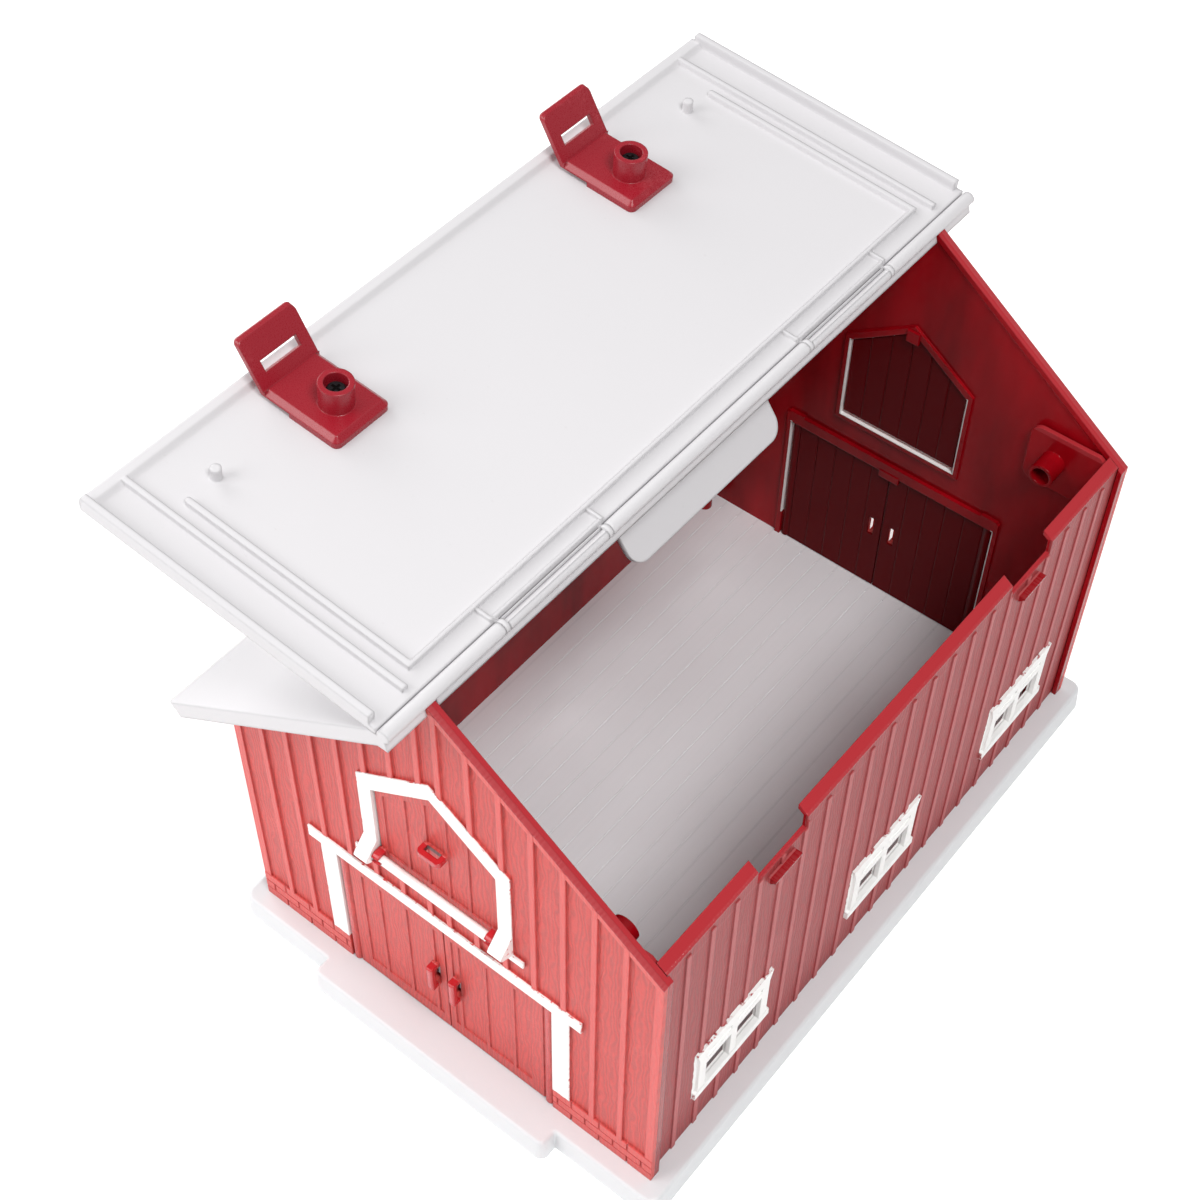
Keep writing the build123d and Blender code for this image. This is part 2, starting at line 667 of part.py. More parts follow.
def corner_ear():
    """Plate along the end wall with a screw tube, and the foot boss below it."""
    wall_in = SIDE_FACE - SIDE_T
    y1 = END_Y - WALL_INSET
    y0 = y1 - EAR_PLATE_T
    x0 = wall_in - EAR_PLATE_IN
    x1 = wall_in + SIDE_T / 4
    ear = block(x0, x1, y0, y1, SIDE_TOP - EAR_PLATE_DOWN, SIDE_TOP + EAR_PLATE_UP)
    free = ear.edges().filter_by(Axis.Y).sort_by(Axis.X)[:2]
    ear = fillet(free, EAR_PLATE_CORNER)
    above = [(x, rake(x, -EAR_PLATE_DROP)) for x in (x0, x1)]
    ear -= profile_xz(above + [(x1, APEX_Z), (x0, APEX_Z)], y0, y1)
    ear += rod_y(y1 - TUBE_L, y1, BOSS_X, BOSS_Z, TUBE_R)
    ear -= rod_y(y1 - TUBE_L, y0, BOSS_X, BOSS_Z, TUBE_BORE)
    ear -= rod_y(y0, y1, BOSS_X, BOSS_Z, HOLE_R)
    foot_y = END_Y - FOOT_IN
    ear += rod_z(0, FOOT_H, FOOT_X, foot_y, BOSS_R)
    ear += block(FOOT_X, wall_in + 0.5, foot_y - 1, foot_y + 1, 0, FOOT_H)
    return ear - rod_z(0, FOOT_H - 1.5, FOOT_X, foot_y, HOLE_R)


def make_side_wall():
    half_y = END_Y - WALL_INSET
    x0 = SIDE_FACE - SIDE_T
    top = [rake(x0, -SEAT_GAP), rake(SIDE_FACE, -SEAT_GAP)]
    wall = profile_xz([(x0, 0), (SIDE_FACE, 0), (SIDE_FACE, top[1]), (x0, top[0])], -half_y, half_y)
    band = [(BAND_IN, rake(BAND_IN, -SEAT_GAP)), (BAND_IN, rake(BAND_IN, -SEAT_GAP - BAND_T))]
    band += [(SIDE_FACE, rake(SIDE_FACE, -SEAT_GAP - BAND_T)), (SIDE_FACE, rake(SIDE_FACE, -SEAT_GAP))]
    wall += profile_xz(band, -half_y, half_y)
    x1 = SIDE_FACE + SIDE_BATTEN_OUT
    count = int((half_y - BATTEN_W / 2) // SIDE_BATTEN_STEP)
    for k in range(-count, count + 1):
        y = k * SIDE_BATTEN_STEP
        wall += block(x0, x1, y - BATTEN_W / 2, y + BATTEN_W / 2, 0, rake(x1, -SEAT_GAP - BAND_T))
    for y in (-WINDOW_Y, 0, WINDOW_Y):
        wall += window_frame(y)
        wall -= window_cut(y)
    notch_z = SIDE_TOP - NOTCH_DEEP
    for y in (-CATCH_Y, CATCH_Y):
        wall -= block(BAND_IN - 1, x1 + 1, y - NOTCH_W / 2, y + NOTCH_W / 2, notch_z, APEX_Z)
        wall += catch_bar(y)
    return wall + both_ends(corner_ear())


# ---------------------------------------------------------------- roof
# Each half is drawn flat: x = distance from the apex down the slope, z = 0 on the
# underside and growing towards the inside of the barn.


def panel_body(near, reach):
    """Skin with its hanging rims, gable grips and ridge rib."""
    half = ROOF_HALF_Y
    skin = block(near, reach, -half, half, -SKIN_T, 0)
    corners = skin.edges().filter_by(Axis.Z).sort_by(Axis.X)[-2:]
    skin = fillet(corners, PANEL_CORNER)
    eave = [(reach - EAVE_BAND - 1.5, 0), (reach - EAVE_BAND, RIM_DROP), (reach - 1, RIM_DROP), (reach, 0)]
    skin += profile_xz(eave, -half + PANEL_CORNER, half - PANEL_CORNER)
    start = near + GABLE_RIM_SET
    rim = block(start, reach - PANEL_CORNER, half - RIM_BAND, half, 0, GABLE_DROP)
    out0 = END_Y + LIP_OUT + 0.5
    grip = block(start, reach - EAVE_BAND, out0, out0 + RIB_BAND - 0.1, 0, RIB_DROP)
    in1 = END_Y - WALL_T - LIP_OUT - 0.5
    inner = block(RIDGE_RIB_S, INNER_RIB_END, in1 - RIB_BAND, in1, 0, RIB_DROP)
    ends = inner.edges().filter_by(Axis.Z).sort_by(Axis.X)[-2:]
    inner = fillet(ends, RIB_BAND / 2 - 0.05)
    skin += both_ends(rim + grip + inner)
    skin += block(RIDGE_RIB_S, RIDGE_RIB_S + RIM_DROP, -in1, in1, 0, RIB_DROP)
    return skin


def latch_post():
    """Post on the underside that a latch boss fits over."""
    height = LATCH_H - 0.2
    post = Pos(LATCH_BOSS_S, 0, height / 2) * Cylinder(LATCH_BORE_R - POST_PLAY, height)
    pilot_low = 1.2 - SKIN_T
    bore = Pos(LATCH_BOSS_S, 0, (pilot_low + height) / 2) * Cylinder(HOLE_R, height - pilot_low)
    return post, bore


def with_posts(panel):
    post, bore = latch_post()
    for y in (-CATCH_Y, CATCH_Y):
        panel += Pos(0, y, 0) * post
        panel -= Pos(0, y, 0) * bore
    return panel


def closed_points(corners):
    """Points given in the barn's end view with the roof shut, in the flat roof frame."""
    return [(slope_s(x, z), slope_u(x, z)) for x, z in corners]


def latch_lip():
    """Lip that hangs over the long wall, with a rounded free edge."""
    x0 = LIP_IN_X
    x1 = LIP_IN_X + LIP_T
    half = LATCH_W / 2
    free = SIDE_TOP - LIP_DOWN
    corners = [(x0, FOLD_Z), (x1, FOLD_Z), (x1, free), (x0 + LIP_BEVEL, free), (x0, free + LIP_BEVEL)]
    lip = profile_xz(closed_points(corners), -half, half)
    tips = lip.edges().filter_by(Axis.Y, reverse=True).sort_by(Axis.Z)[-4:]
    lip = fillet(tips, LIP_CORNER)
    high = SIDE_TOP - LATCH_SLOT_DOWN
    low = high - LATCH_SLOT_H
    slot = closed_points([(x0 - 1, low), (x1 + 1, low), (x1 + 1, high), (x0 - 1, high)])
    return lip, profile_xz(slot, -LATCH_SLOT_W / 2, LATCH_SLOT_W / 2)


def make_latch():
    """Red clip: bevelled block, springy arm, slotted lip and a screw boss."""
    half = LATCH_W / 2
    end = BLOCK_END
    fold_in, fold_out = closed_points([(LIP_IN_X, FOLD_Z), (LIP_IN_X + LIP_T, FOLD_Z)])
    body = block(end - BLOCK_L, fold_in[0], -half, half, 0, LATCH_H)
    body = fillet(body.edges().filter_by(Axis.Z).sort_by(Axis.X)[:2], LATCH_CORNER)
    rim = body.faces().sort_by(Axis.Z)[-1].edges().sort_by(Axis.X)[:-1]
    body = chamfer(rim, LATCH_BEVEL)
    body -= block(end, fold_in[0], -half, half, 0, ARM_LIFT)
    fold = [(fold_in[0], ARM_LIFT), (fold_out[0], ARM_LIFT), fold_out, (fold_in[0], LATCH_H)]
    body += profile_xz(fold, -half, half)
    lip, slot = latch_lip()
    body = body + lip - slot
    body += Pos(LATCH_BOSS_S, 0, LATCH_BOSS_H / 2) * Cylinder(LATCH_BOSS_R, LATCH_BOSS_H)
    body -= Pos(LATCH_BOSS_S, 0, LATCH_H / 2) * Cylinder(LATCH_BORE_R, LATCH_H)
    top = LATCH_H + SHOULDER_T
    body -= Pos(LATCH_BOSS_S, 0, (top + LATCH_BOSS_H) / 2) * Cylinder(LATCH_WELL_R, LATCH_BOSS_H - top)
    body -= Pos(LATCH_BOSS_S, 0, LATCH_BOSS_H / 2) * Cylinder(HOLE_R, LATCH_BOSS_H)
    return body


def screw(length):
    """Pan-head screw, head base at z = 0, shank downwards."""
    head = Pos(0, 0, SCREW_HEAD_H / 2) * Cylinder(SCREW_HEAD_D / 2, SCREW_HEAD_H)
    head = chamfer(head.faces().sort_by(Axis.Z)[-1].edges(), SCREW_HEAD_BEVEL)
    return head + Pos(0, 0, -length / 2) * Cylinder(SCREW_R, length)


def ridge_roll():
    """Ridge roll with its web, land and beam, in the frame of the barn's end view."""
    deg = radians(REST_ANGLE)
    out = HINGE_N
    land_n = SKIN_T - out + SEAT_GAP
    land = [(1.9, land_n), (5.71, land_n)]
    pts = [(AXIS_X, AXIS_Z)]
    for s, n in land:
        pts.append((AXIS_X - s * cos(deg) - n * sin(deg), AXIS_Z + s * sin(deg) - n * cos(deg)))
    low = APEX_Z - WEB_H
    lean = (AXIS_Z - low) / tan(radians(WEB_ANGLE))
    pts += [(-WEB_REACH, rake(WEB_REACH, 0)), (-WEB_REACH, low), (AXIS_X + lean, low)]
    web = profile_xz(pts, -ROOF_HALF_Y, ROOF_HALF_Y)
    inside = END_Y - WALL_INSET - 2 * SEAT_GAP
    outside = END_Y + LIP_OUT + SEAT_GAP
    under = block(-2 * WEB_REACH, 2 * WEB_REACH, inside, outside, 0, APEX_CUT_Z + SEAT_GAP)
    web -= both_ends(under)
    return web + rod_y(-ROOF_HALF_Y, ROOF_HALF_Y, AXIS_X, AXIS_Z, ROLL_R)


def swing_space():
    """Room that the open roof half needs over the fixed half."""
    deg = radians(REST_ANGLE)
    low = SKIN_T - HINGE_N + SEAT_GAP
    pts = []
    for s, n in ((2.3, low), (30, low), (30, -20), (2.3, -20)):
        pts.append((AXIS_X - s * cos(deg) - n * sin(deg), AXIS_Z + s * sin(deg) - n * cos(deg)))
    return profile_xz(pts, -ROOF_HALF_Y - 1, ROOF_HALF_Y + 1)


def make_roof_left():
    panel = panel_body(0, LEFT_REACH)
    panel = with_posts(panel)
    panel -= block(GUARD_S + GUARD_T, GUARD_S + GUARD_T + SLOT_W, -SLOT_HALF_Y, SLOT_HALF_Y, -SKIN_T, 0)
    guard = block(GUARD_S, GUARD_S + GUARD_T, -GUARD_HALF_Y, GUARD_HALF_Y, -SKIN_T / 2, GUARD_DROP)
    tips = guard.edges().filter_by(Axis.X).sort_by(Axis.Z)[-2:]
    panel += fillet(tips, GUARD_CORNER)
    panel = Pos(0, 0, APEX_Z) * Rot(0, 180 - PITCH, 0) * panel
    panel -= swing_space()
    roll = ridge_roll()
    barrel_half = BARREL_L / 2
    for y in (-BARREL_Y, BARREL_Y):
        for side in (-1, 1):
            outer = y + side * (barrel_half + SEAT_GAP)
            inner = y + side * (barrel_half - ARM_T - SEAT_GAP)
            lo, hi = sorted((outer, inner))
            roll -= rod_y(lo, hi, AXIS_X, AXIS_Z, ROLL_R + 2 * SEAT_GAP)
            panel -= rod_y(lo, hi, AXIS_X, AXIS_Z, ROLL_R + 2 * SEAT_GAP)
        roll -= rod_y(y - barrel_half, y + barrel_half, AXIS_X, AXIS_Z, BORE_R)
        y0 = y - barrel_half
        x0 = AXIS_X - MOUTH_W / 2
        mouth = block(x0, x0 + MOUTH_W, y0, y0 + BARREL_L, AXIS_Z, AXIS_Z + 2 * ROLL_R)
        roll -= mouth
    return Pos(0, 0, BASE_H) * (panel + roll)


def place_right(solid):
    """Turn a flat-drawn solid into the open position about the hinge axis."""
    flat = Pos(-HINGE_S, 0, HINGE_N) * solid
    return Pos(AXIS_X, 0, BASE_H + AXIS_Z) * Rot(0, REST_ANGLE, 0) * Rot(0, 0, 180) * flat


def place_left(solid):
    return Pos(0, 0, BASE_H + APEX_Z) * Rot(0, 180 - PITCH, 0) * solid


def hinge_parts():
    """Arms and pin of one hinge, and the raised border round it."""
    half = BARREL_L / 2
    axis_z = -HINGE_N
    solid = rod_y(-half, half, HINGE_S, axis_z, PIN_R)
    for side in (-1, 1):
        lo, hi = sorted((side * half, side * (half - ARM_T)))
        solid += rod_y(lo, hi, HINGE_S, axis_z, ROLL_R)
        solid += block(HINGE_S, EDGE_S + 1, lo, hi, axis_z - 0.9, axis_z + 0.9)
        lo, hi = sorted((side * half, side * (half + RIM_DROP)))
        solid += block(EDGE_S + 0.4, RIDGE_RIB_S + 0.5, lo, hi, 0, 1.2)
    return solid + block(EDGE_S + 0.4, EDGE_S + 1.6, -half, half, 0, 0.8)


def make_roof_right():
    panel = with_posts(panel_body(EDGE_S, RIGHT_REACH))
    for y in (STUD_IN - END_Y, END_Y - STUD_IN):
        panel += Pos(STUD_S, y, STUD_H / 2) * Cylinder(STUD_D / 2, STUD_H)
    for y in (-BARREL_Y, BARREL_Y):
        panel += Pos(0, y, 0) * hinge_parts()
    return place_right(panel)


def latch_screw_set():
    """Two screws seated on the shoulders of the latch bosses."""
    length = LATCH_H + SHOULDER_T + SKIN_T - 1.6
    one = Pos(LATCH_BOSS_S, 0, LATCH_H + SHOULDER_T) * screw(length)
    return Pos(0, -CATCH_Y, 0) * one + Pos(0, CATCH_Y, 0) * one


def corner_screw_set():
    length = WALL_INSET + EAR_PLATE_T - PILOT_SKIN - SEAT_GAP
    y = END_Y - WALL_INSET - EAR_PLATE_T
    group = Part()
    for side in (-1, 1):
        group += Pos(side * BOSS_X, y, BASE_H + BOSS_Z) * Rot(90, 0, 0) * screw(length)
        group += Pos(side * BOSS_X, -y, BASE_H + BOSS_Z) * Rot(-90, 0, 0) * screw(length)
    return group


def base_screw_set():
    length = BASE_SKIN + FOOT_H - 2
    group = Part()
    for x, y in foot_places():
        group += Pos(x, y, BASE_H - BASE_SKIN) * Rot(180, 0, 0) * screw(length)
    return group


def make_all():
    parts = {"base": make_base()}
    end_wall = make_end_wall()
    parts["front_wall"] = place_end(end_wall, True)
    parts["rear_wall"] = place_end(end_wall, False)
    side_wall = Pos(0, 0, BASE_H) * make_side_wall()
    parts["right_wall"] = side_wall
    parts["left_wall"] = Rot(0, 0, 180) * side_wall
    parts["roof_left"] = make_roof_left()
    parts["roof_right"] = make_roof_right()
    clip = make_latch()
    parts["latch_front"] = place_right(Pos(0, CATCH_Y, 0) * clip)
    parts["latch_rear"] = place_right(Pos(0, -CATCH_Y, 0) * clip)
    parts["latch_screws"] = place_right(latch_screw_set())
    parts["roof_clip_front"] = place_left(Pos(0, -CATCH_Y, 0) * clip)
    parts["roof_clip_rear"] = place_left(Pos(0, CATCH_Y, 0) * clip)
    parts["roof_clip_screws"] = place_left(latch_screw_set())
    parts["corner_screws"] = corner_screw_set()
    parts["base_screws"] = base_screw_set()
    door = make_door()
    mirrored = mirror(door, about=Plane.YZ)
    parts["front_door_right"] = place_end(door, True)
    parts["front_door_left"] = place_end(mirrored, True)
    parts["rear_door_left"] = place_end(door, False)
    parts["rear_door_right"] = place_end(mirrored, False)
    loft = make_loft_door()
    parts["front_loft_door"] = place_end(loft, True)
    parts["rear_loft_door"] = place_end(loft, False)
    return parts


os.makedirs("parts", exist_ok=True)
for name, shape in make_all().items():
    export_step(shape, f"parts/{name}.step")
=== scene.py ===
import math

import bpy
import numpy as np
from mathutils import Matrix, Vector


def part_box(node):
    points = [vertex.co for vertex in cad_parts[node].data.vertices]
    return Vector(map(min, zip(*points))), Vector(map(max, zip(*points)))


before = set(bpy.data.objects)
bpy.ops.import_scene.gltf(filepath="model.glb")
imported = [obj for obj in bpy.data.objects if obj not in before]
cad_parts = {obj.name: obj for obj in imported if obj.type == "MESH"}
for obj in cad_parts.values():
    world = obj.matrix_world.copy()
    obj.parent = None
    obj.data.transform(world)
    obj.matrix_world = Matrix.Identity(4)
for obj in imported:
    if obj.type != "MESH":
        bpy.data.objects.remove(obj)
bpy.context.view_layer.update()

bl_info = {
    "name": "Toy Barn Finish",
    "version": (1, 0, 0),
    "blender": (4, 5, 0),
    "location": "View3D > Sidebar > Toy Barn",
    "description": "Dresses the packed toy barn: grained red walls, painted trim, white roof and tray",
    "category": "Object",
}

MM = 0.001
PITCH = math.radians(35.3)  # slope of the roof


def lowest(name):
    """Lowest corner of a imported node, in mm."""
    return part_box(name)[0] / MM


def highest(name):
    """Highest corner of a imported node, in mm."""
    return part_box(name)[1] / MM


# Sizes of the barn that its nodes' boxes don't show by themselves, in mm
ROOF_OVERHANG = 19.5        # roof beyond the end walls
BOARD_OUT = 2.3             # corner boards in front of the long walls
GABLE_FLAT = 2.0            # cut off the peak of a gable
BAND_RISE = 3.14            # sloped band of a long wall, from its outer to its inner edge
NOTCH_DEEP = 7.0            # latch notches in that band
DOOR_GAP = 0.4              # round a door leaf
LOFT_GAP = 0.3              # beside a loft leaf
RING_UP = 28.3              # pull above the foot of a loft leaf
RING_HIGH = 2.5
RING_SLOT = (3.35, 0.2, 2.7)    # its slot, darkened as painted shade: half width, from and to beyond the wall's face
CATCH_UP = 70.0             # higher above the tray, only the catch bars stand proud of a long wall
CATCH_OUT = 0.9             # by more than this
WINDOW_STEP = 100.2         # from window to window
END_SKIN = 1.2              # an end wall has its outer finish down to this depth
END_BATTEN_OUT = 0.55       # what is prouder than this, each batten, gets a lighter red as a painted highlight
END_PAINT_OUT = 0.72        # trim prouder than this is painted
HINGE_BAR_OUT = 0.6         # and so is the hinge bar
END_REVEAL = 4.0            # depth of the white reveals of its openings
SIDE_SKIN = 0.8             # the same of a long wall
SIDE_BATTEN_OUT = 0.3
SIDE_PAINT_OUT = 0.9
SIDE_REVEAL = 1.9
LEAF_SKIN = 1.4             # and of a leaf
DOOR_PULL_OUT = 0.9         # what is prouder of the wall's face than this is a polished pull
LOFT_PULL_OUT = 0.5
FLOOR_HALF_W = 96.0         # planked floor from the middle
FLOOR_HALF_L = 147.0
FLOOR_PLANK = 9.3           # from groove to groove
LEAF_PLANK = 9.6            # from seam to seam behind a leaf
LATCH_SCREWS = (-98.6, 81.0)    # x and plus or minus y of their heads while the roof lies open
CROSS_HALF = 0.45           # half width of the cross in a head
CROSS_REACH = 1.9
NO_LIMIT = -9.0             # a distance from the middle never falls to this

# Places on the barn, in mm
BASE_TOP = lowest("front_wall").z                       # the walls stand on the tray
FACE_Y = highest("roof_left").y - ROOF_OVERHANG         # outer face of the end walls
SIDE_X = highest("front_wall").x - BOARD_OUT            # outer face of the long walls
GABLE_PEAK = highest("front_wall").z + GABLE_FLAT       # where the rims of a gable would meet
WALL_TOP = highest("left_wall").z - BAND_RISE           # outer edge of a long wall's band
RIM_Z = WALL_TOP - 0.4                                  # from here up the band is glossier and toned as painted light
NOTCH_Z = WALL_TOP - NOTCH_DEEP
DOOR_HALF = DOOR_GAP - lowest("front_door_left").x      # half width of a doorway
LOFT_HALF = LOFT_GAP + highest("front_loft_door").x     # and of a loft opening
RING_FOOT = lowest("front_loft_door").z + RING_UP
RING_TOP = RING_FOOT + RING_HIGH

# Painted rectangles, in mm: from and to across from the middle, from and to above the tray
POST = (DOOR_HALF - 0.2, DOOR_HALF + 8.3, 15.2, 80.0)
BEAM = (NO_LIMIT, DOOR_HALF + 14.0, 75.3, 82.2)
SILL = (NO_LIMIT, LOFT_HALF + 11.6, 91.9, 95.7)
HINGE_BAR = (NO_LIMIT, LOFT_HALF + 0.3, 97.6, 102.4)
DOOR_JAMB = (DOOR_HALF - 0.6, DOOR_HALF + 0.5, 15.2, 76.0)
LOFT_JAMB = (LOFT_HALF - 0.4, LOFT_HALF + 0.5, 95.2, 139.5)
LOFT_LEDGE = (NO_LIMIT, LOFT_HALF + 0.3, 95.1, 95.9)
WINDOW = (NO_LIMIT, 23.6, 23.4, 57.2)

# Painted frame of the loft opening, in mm above the tray: half width, height at the eaves, at the peak
FRAME_OUTSIDE = (LOFT_HALF + 6.5, 144.4, 167.9)
FRAME_INSIDE = (LOFT_HALF - 0.2, 138.8, 159.0)
FRAME_FOOT = 95.0

# Name, place and aim in metres, size in metres, share of the key lamp's power
LAMPS = (
    ("key_above_opening", (0.75, -0.35, 1.55), (0.03, 0.0, 0.05), 0.5, 1.0),
    ("softbox_front_left", (-0.9, -1.4, 1.3), (0.0, 0.0, 0.1), 1.2, 1.2),
    ("softbox_overhead", (0.2, 0.3, 1.9), (0.0, 0.0, 0.1), 1.6, 0.2),
    ("softbox_left", (-1.4, 0.1, 0.8), (0.0, 0.0, 0.1), 1.0, 0.65),
)
CAMERA_PLACE = (0.27958, -0.41664, 0.73307)     # metres
CAMERA_TURN = (39.8955, -0.6498, 38.8050)       # degrees: tilt, lean, heading


def linear(r, g, b):
    """Screen colour, 0 to 255, as linear light."""
    c = np.array([r, g, b]) / 255.0
    low = c / 12.92
    high = ((c + 0.055) / 1.055) ** 2.4
    return tuple(float(v) for v in np.where(c <= 0.04045, low, high))


def colour_property(name, text, rgb):
    """A colour that the user can pick, given as a screen colour."""
    return bpy.props.FloatVectorProperty(
        name=name, description=text, subtype="COLOR", size=3, min=0.0, max=1.0, default=linear(*rgb))


def depth_property(name, text, default, limit):
    """A small length that the user can set, in metres, up to the limit."""
    return bpy.props.FloatProperty(
        name=name, description=text, default=default, min=0.0, max=limit, precision=5,
        subtype="DISTANCE", unit="LENGTH")


class BarnColours(bpy.types.PropertyGroup):
    """Colours of the moulded plastics and the brushed-on paint. Some are toned to stand for painted light and
    painted shade.
    """
    wall: colour_property("Outer wall red", "Moulded red of the end walls and doors", (202, 67, 62))
    side: colour_property("Long wall red", "Slightly dustier red of the long walls", (156, 47, 49))
    # Deeper than the outer red: partly the smooth glossy inner face, partly painted shade of the barn's
    # inside. Also used for painted shade and a painted reflection elsewhere.
    inside: colour_property("Inner wall red", "Deep glossy red inside the barn", (150, 6, 18))
    trim: colour_property("Pull red", "Glossy red of the pulls", (186, 32, 39))
    # Painted light: the same moulded red, as the rims look where the light falls on them
    rim_painted_light: colour_property("Rim red", "Rubbed gloss of the top rims", (170, 46, 52))
    latch: colour_property("Latch red", "Satin crimson of the roof latches", (152, 26, 40))
    paint: colour_property("Trim paint", "White paint on the raised trim", (246, 246, 244))
    roof: colour_property("Roof white", "White of the roof halves", (206, 204, 206))
    # The tray and its floor are one white moulding. The tray is a darker, slightly cool white and the floor a
    # lighter one: painted light that offsets the strong light and the pink light from the red walls on the
    # tray, and the shade on the floor inside the walls.
    tray: colour_property("Tray white", "White of the base tray", (212, 214, 216))
    floor: colour_property("Planked floor", "Pale lavender grey inside the tray", (242, 241, 243))
    screw: colour_property("Screw black", "Blackened steel screws", (22, 22, 24))


class BarnRelief(bpy.types.PropertyGroup):
    """Depth of the wood grain and the unevenness of the paint"""
    grain: depth_property("Grain depth", "Depth of the wood grain on the planks", 0.0004, 0.001)
    paint_edge: depth_property("Paint wander", "How far the edge of the paint wanders", 0.00045, 0.002)


class BarnStudio(bpy.types.PropertyGroup):
    """Light and lens of the stage"""
    key: bpy.props.FloatProperty(
        name="Key power", description="Power of the key lamp, which the others follow",
        default=17.0, min=0.0, max=500.0, unit="POWER")
    air: bpy.props.FloatProperty(
        name="Air light", description="Strength of the even white light all round",
        default=0.34, min=0.0, max=5.0)
    paper: bpy.props.FloatProperty(
        name="Paper glow", description="Strength of the studio paper's own light",
        default=0.22, min=0.0, max=5.0)
    lens: bpy.props.FloatProperty(
        name="Lens", description="Focal length of the camera on a sensor 36 mm wide",
        default=60.85, min=10.0, max=300.0, unit="CAMERA")


class Value:
    """A number that varies over a surface. Plus, minus, times and abs() each add a maths node."""

    def __init__(self, shade, socket):
        self.shade = shade
        self.socket = socket

    def __add__(self, other):
        return self.shade.maths("ADD", self, other)

    def __sub__(self, other):
        return self.shade.maths("SUBTRACT", self, other)

    def __rsub__(self, other):
        return self.shade.maths("SUBTRACT", other, self)

    def __mul__(self, other):
        return self.shade.maths("MULTIPLY", self, other)

    def __neg__(self):
        return self.shade.maths("MULTIPLY", self, -1.0)

    def __abs__(self):
        return self.shade.maths("ABSOLUTE", self)

    def clamped(self):
        """The number kept between 0 and 1."""
        return self.shade.maths("ADD", self, 0.0, clamp=True)


class Shade:
    """Builder for one node material. Its x, y, z and place read Object coordinates, in mm."""

    def __init__(self, name):
        self.material = bpy.data.materials.new(name)
        self.material.use_nodes = True
        self.tree = self.material.node_tree
        self.tree.nodes.clear()
        output = self.tree.nodes.new("ShaderNodeOutputMaterial")
        self.surface = self.tree.nodes.new("ShaderNodeBsdfPrincipled")
        self.wire(output.inputs["Surface"], self.surface.outputs[0])
        coordinates = self.tree.nodes.new("ShaderNodeTexCoord")
        self.place = self.node("ShaderNodeVectorMath", {0: coordinates.outputs["Object"], "Scale": 1.0 / MM},
                               operation="SCALE").outputs[0]
        split = self.node("ShaderNodeSeparateXYZ", {0: self.place})
        self.x, self.y, self.z = (Value(self, socket) for socket in split.outputs)

    def wire(self, socket, value):
        """Links a Value or an output to the socket, or sets a number, vector or colour on it."""
        if isinstance(value, Value):
            value = value.socket
        if isinstance(value, bpy.types.NodeSocket):
            self.tree.links.new(value, socket)
        elif socket.type == "RGBA":
            socket.default_value = (*value, 1.0)
        else:
            socket.default_value = value

    def node(self, kind, inputs, **settings):
        """A new node with the settings; inputs say what its sockets get, by name or number."""
        node = self.tree.nodes.new(kind)
        for key, value in settings.items():
            setattr(node, key, value)
        for key, value in inputs.items():
            self.wire(node.inputs[key], value)
        return node

    def maths(self, what, *numbers, clamp=False):
        """The result of one maths node."""
        node = self.node("ShaderNodeMath", dict(enumerate(numbers)), operation=what, use_clamp=clamp)
        return Value(self, node.outputs[0])

    def point(self, x, y, z):
        """A place put together from three numbers."""
        return self.node("ShaderNodeCombineXYZ", {0: x, 1: y, 2: z}).outputs[0]

    def shifted(self, by):
        """The place moved by a vector, so that a second noise differs from the first."""
        return self.node("ShaderNodeVectorMath", {0: self.place, 1: by}, operation="ADD").outputs[0]

    def noise(self, place, scale, detail=3.0, rough=0.6):
        """Smooth noise from 0 to 1, with the scale in lumps per unit of the place."""
        node = self.node("ShaderNodeTexNoise",
                         {"Vector": place, "Scale": scale, "Detail": detail, "Roughness": rough})
        return Value(self, node.outputs["Fac"])

    def mix(self, share, first, second):
        """Colour that goes from the first to the second as the share goes from 0 to 1."""
        return self.node("ShaderNodeMix", {0: share, 6: first, 7: second}, data_type="RGBA").outputs[2]

    def mix_value(self, share, first, second):
        """Number that goes from the first to the second as the share goes from 0 to 1."""
        return Value(self, self.node("ShaderNodeMix", {0: share, 2: first, 3: second}).outputs[0])

    def rounded(self, radius):
        """Normal turned near sharp edges, as if they were rounded by the radius in mm."""
        return self.node("ShaderNodeBevel", {"Radius": radius * MM}, samples=8).outputs[0]

    def bump(self, height, depth, normal=None):
        """Normal tilted by a height from 0 to 1 that stands for a depth in mm."""
        inputs = {"Height": height, "Strength": 1.0, "Distance": depth * MM}
        if normal is not None:
            inputs["Normal"] = normal
        return self.node("ShaderNodeBump", inputs).outputs[0]

    def finish(self, base, rough, normal=None, specular=0.5, metallic=0.0):
        """Wires the shader and gives the material back."""
        self.wire(self.surface.inputs["Base Color"], base)
        self.wire(self.surface.inputs["Roughness"], rough)
        self.wire(self.surface.inputs["Specular IOR Level"], specular)
        self.wire(self.surface.inputs["Metallic"], metallic)
        if normal is not None:
            self.wire(self.surface.inputs["Normal"], normal)
        return self.material


def least(first, *others):
    """The lowest of the values."""
    for other in others:
        first = first.shade.maths("MINIMUM", first, other)
    return first


def most(first, *others):
    """The highest of the values."""
    for other in others:
        first = first.shade.maths("MAXIMUM", first, other)
    return first


def step(value, width):
    """Goes from 0 to 1 as the value rises through zero, over the width."""
    return (value * (1.0 / width) + 0.5).clamped()


def inside_box(across, up, box):
    """Above zero inside the rectangle, in mm to its nearest edge."""
    left, right, foot, top = box
    return least(across - left, right - across, up - foot, top - up)


